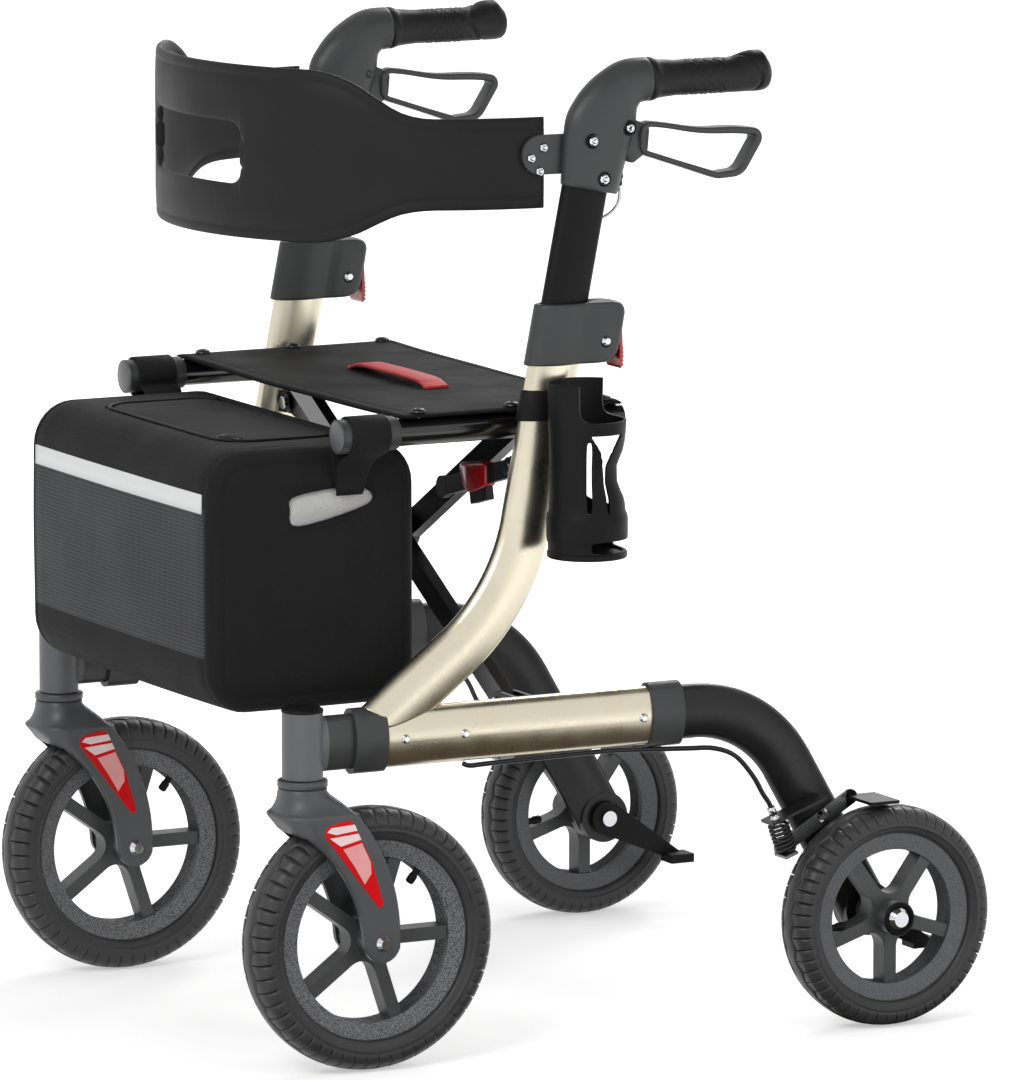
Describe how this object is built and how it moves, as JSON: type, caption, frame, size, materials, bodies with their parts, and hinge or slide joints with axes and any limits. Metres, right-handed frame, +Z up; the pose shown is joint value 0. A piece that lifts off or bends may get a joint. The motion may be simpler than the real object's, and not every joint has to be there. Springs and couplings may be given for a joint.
{
  "type": "all terrain rollator",
  "caption": "Folding wheeled walker with big swivelling front wheels, sling seat, curved backrest, loop brakes, height-adjustable handles, front bag and cup holder.",
  "frame": {"origin": "on the floor, midway between the side frames, near the middle of the wheelbase", "axes": "+Z up, -Y is the front (bag and swivelling wheels), +X is the user's left"},
  "size_m": [0.7248, 0.7784, 0.9529],
  "materials": {
    "gold_tube": "champagne gold, satin lacquered",
    "black_tube": "black, satin lacquered",
    "grey_casting": "dark grey moulded, fine grain",
    "black_plastic": "black moulded",
    "red_plastic": "red, glossy",
    "chrome_bolt": "bright plated",
    "steel": "black oxide spring steel",
    "tyre_rubber": "soft foam tyre, matt",
    "grip_rubber": "soft black rubber",
    "black_fabric": "black woven nylon"
  },
  "bodies": {
    "frame_left": {"lower_rail_left": "gold_tube", "upright_left": "gold_tube", "rail_collars_left": "black_plastic", "caster_head_left": "grey_casting", "rear_leg_left": "black_tube", "curb_pedal_left": "black_plastic", "fold_brackets_left": "black_tube", "frame_fasteners_left": "chrome_bolt", "height_clamp_left": "black_plastic", "brake_cable_left": "grip_rubber", "brake_spring_left": "steel", "cup_holder": "black_plastic"},
    "scissor_left": {"seat_rail_arm_left": "black_tube", "rail_end_cap_left": "black_plastic"},
    "stay_left": {"fold_stay_left": "black_plastic"},
    "caster_left": {"fork_left": "grey_casting", "fork_reflectors_left": "red_plastic", "front_axle_left": "chrome_bolt"},
    "front_wheel_left": {"front_hub_left": "grey_casting", "front_tyre_left": "tyre_rubber"},
    "rear_wheel_left": {"rear_hub_left": "grey_casting", "rear_tyre_left": "tyre_rubber"},
    "handle_left": {"handle_tube_left": "black_tube", "handle_elbow_left": "grey_casting", "grip_left": "grip_rubber"},
    "lever_left": {"brake_lever_left": "black_plastic"},
    "brake_left": {"brake_bar_left": "black_tube"},
    "clamp_lever_left": {"height_lever_left": "red_plastic"},
    "frame_right": {"lower_rail_right": "gold_tube", "upright_right": "gold_tube", "rail_collars_right": "black_plastic", "caster_head_right": "grey_casting", "rear_leg_right": "black_tube", "curb_pedal_right": "black_plastic", "fold_brackets_right": "black_tube", "frame_fasteners_right": "chrome_bolt", "height_clamp_right": "black_plastic", "brake_cable_right": "grip_rubber", "brake_spring_right": "steel"},
    "scissor_right": {"seat_rail_arm_right": "black_tube", "rail_end_cap_right": "black_plastic"},
    "stay_right": {"fold_stay_right": "black_plastic"},
    "caster_right": {"fork_right": "grey_casting", "fork_reflectors_right": "red_plastic", "front_axle_right": "chrome_bolt"},
    "front_wheel_right": {"front_hub_right": "grey_casting", "front_tyre_right": "tyre_rubber"},
    "rear_wheel_right": {"rear_hub_right": "grey_casting", "rear_tyre_right": "tyre_rubber"},
    "handle_right": {"handle_tube_right": "black_tube", "handle_elbow_right": "grey_casting", "grip_right": "grip_rubber"},
    "lever_right": {"brake_lever_right": "black_plastic"},
    "brake_right": {"brake_bar_right": "black_tube"},
    "clamp_lever_right": {"height_lever_right": "red_plastic"},
    "cross": {"cross_pivot": "chrome_bolt"},
    "seat": {"seat_panel": "black_fabric"},
    "bag": {"bag_shell": "black_fabric"},
    "lid": {"bag_lid": "black_fabric"},
    "back": {"backrest": "black_fabric"}
  },
  "joints": [
    {"name": "fold", "type": "hinge", "parent": "frame_right", "child": "scissor_left", "pos_m": [-0.2376, -0.078, 0.3336], "axis": [0, -1, 0], "range_deg": [0, 45.5], "deforming": ["seat_panel", "backrest", "bag_shell", "bag_lid"]},
    {"name": "fold_cross", "type": "hinge", "parent": "scissor_left", "child": "scissor_right", "pos_m": [0, -0.085, 0.468], "axis": [0, 1, 0], "range_deg": [0, 91]},
    {"name": "fold_frame_left", "type": "hinge", "parent": "scissor_right", "child": "frame_left", "pos_m": [0.2376, -0.092, 0.3336], "axis": [0, -1, 0], "range_deg": [0, 45.5]},
    {"name": "cross_upright", "type": "hinge", "parent": "scissor_left", "child": "cross", "pos_m": [0, -0.085, 0.468], "axis": [0, 1, 0], "range_deg": [0, 45.5]},
    {"name": "stay_left", "type": "hinge", "parent": "frame_left", "child": "stay_left", "pos_m": [0.25, -0.0883, 0.5633], "axis": [0, 1, 0], "range_deg": [0, 84.3]},
    {"name": "stay_right", "type": "hinge", "parent": "frame_right", "child": "stay_right", "pos_m": [-0.25, -0.0817, 0.5633], "axis": [0, -1, 0], "range_deg": [0, 84.3]},
    {"name": "seat_lift", "type": "slide", "parent": "cross", "child": "seat", "axis": [0, 0, 1], "range_m": [0, 0.12947]},
    {"name": "bag_lift", "type": "slide", "parent": "cross", "child": "bag", "axis": [0, 0, 1], "range_m": [0, 0.12947]},
    {"name": "back_shift", "type": "slide", "parent": "handle_right", "child": "back", "axis": [-1, 0, 0], "range_m": [0, 0.16712]},
    {"name": "bag_lid", "type": "hinge", "parent": "bag", "child": "lid", "pos_m": [0, -0.216, 0.588], "axis": [-1, 0, 0], "range_deg": [0, 80]},
    {"name": "height_right", "type": "slide", "parent": "frame_right", "child": "handle_right", "axis": [0, 0.1942, 0.981], "range_m": [-0.09, 0.04]},
    {"name": "height_left", "type": "slide", "parent": "frame_left", "child": "handle_left", "axis": [0, 0.1942, 0.981], "range_m": [-0.09, 0.04]},
    {"name": "caster_swivel_left", "type": "hinge", "parent": "frame_left", "child": "caster_left", "pos_m": [0.276, -0.328, 0.31], "axis": [0, 0, 1], "continuous": true},
    {"name": "front_wheel_left", "type": "hinge", "parent": "caster_left", "child": "front_wheel_left", "pos_m": [0.276, -0.2605, 0.127], "axis": [1, 0, 0], "continuous": true},
    {"name": "rear_wheel_left", "type": "hinge", "parent": "frame_left", "child": "rear_wheel_left", "pos_m": [0.319, 0.27994, 0.1085], "axis": [1, 0, 0], "continuous": true},
    {"name": "brake_lever_left", "type": "hinge", "parent": "handle_left", "child": "lever_left", "pos_m": [0.276, 0.0117, 0.887], "axis": [1, 0, 0], "range_deg": [0, 12], "stiffness_Nm_per_rad": 3},
    {"name": "brake_left", "type": "hinge", "parent": "frame_left", "child": "brake_left", "pos_m": [0.276, 0.226, 0.206], "axis": [-1, 0, 0], "range_deg": [0, 3.8], "deforming": ["brake_spring_left"]},
    {"name": "clamp_lever_left", "type": "hinge", "parent": "frame_left", "child": "clamp_lever_left", "pos_m": [0.276, 0.0005, 0.698], "axis": [1, 0, 0], "range_deg": [0, 70]},
    {"name": "caster_swivel_right", "type": "hinge", "parent": "frame_right", "child": "caster_right", "pos_m": [-0.276, -0.328, 0.31], "axis": [0, 0, 1], "continuous": true},
    {"name": "front_wheel_right", "type": "hinge", "parent": "caster_right", "child": "front_wheel_right", "pos_m": [-0.276, -0.2605, 0.127], "axis": [1, 0, 0], "continuous": true},
    {"name": "rear_wheel_right", "type": "hinge", "parent": "frame_right", "child": "rear_wheel_right", "pos_m": [-0.319, 0.27994, 0.1085], "axis": [1, 0, 0], "continuous": true},
    {"name": "brake_lever_right", "type": "hinge", "parent": "handle_right", "child": "lever_right", "pos_m": [-0.276, 0.0117, 0.887], "axis": [1, 0, 0], "range_deg": [0, 12], "stiffness_Nm_per_rad": 3},
    {"name": "brake_right", "type": "hinge", "parent": "frame_right", "child": "brake_right", "pos_m": [-0.276, 0.226, 0.206], "axis": [-1, 0, 0], "range_deg": [0, 3.8], "deforming": ["brake_spring_right"]},
    {"name": "clamp_lever_right", "type": "hinge", "parent": "frame_right", "child": "clamp_lever_right", "pos_m": [-0.276, 0.0005, 0.698], "axis": [1, 0, 0], "range_deg": [0, 70]}
  ],
  "couplings": [
    {"joint": "fold_cross", "follows": "fold", "ratio": 2},
    {"joint": "fold_frame_left", "follows": "fold", "ratio": 1},
    {"joint": "cross_upright", "follows": "fold", "ratio": 1},
    {"joint": "stay_left", "follows": "fold", "ratio": 1.8526},
    {"joint": "stay_right", "follows": "fold", "ratio": 1.8526},
    {"joint": "seat_lift", "follows": "fold", "m_per_rad": 0.16278},
    {"joint": "bag_lift", "follows": "fold", "m_per_rad": 0.16278},
    {"joint": "back_shift", "follows": "fold", "m_per_rad": 0.2102},
    {"joint": "height_left", "follows": "height_right", "ratio": 1},
    {"joint": "brake_left", "follows": "brake_lever_left", "ratio": 0.31583},
    {"joint": "brake_right", "follows": "brake_lever_right", "ratio": 0.31583}
  ]
}
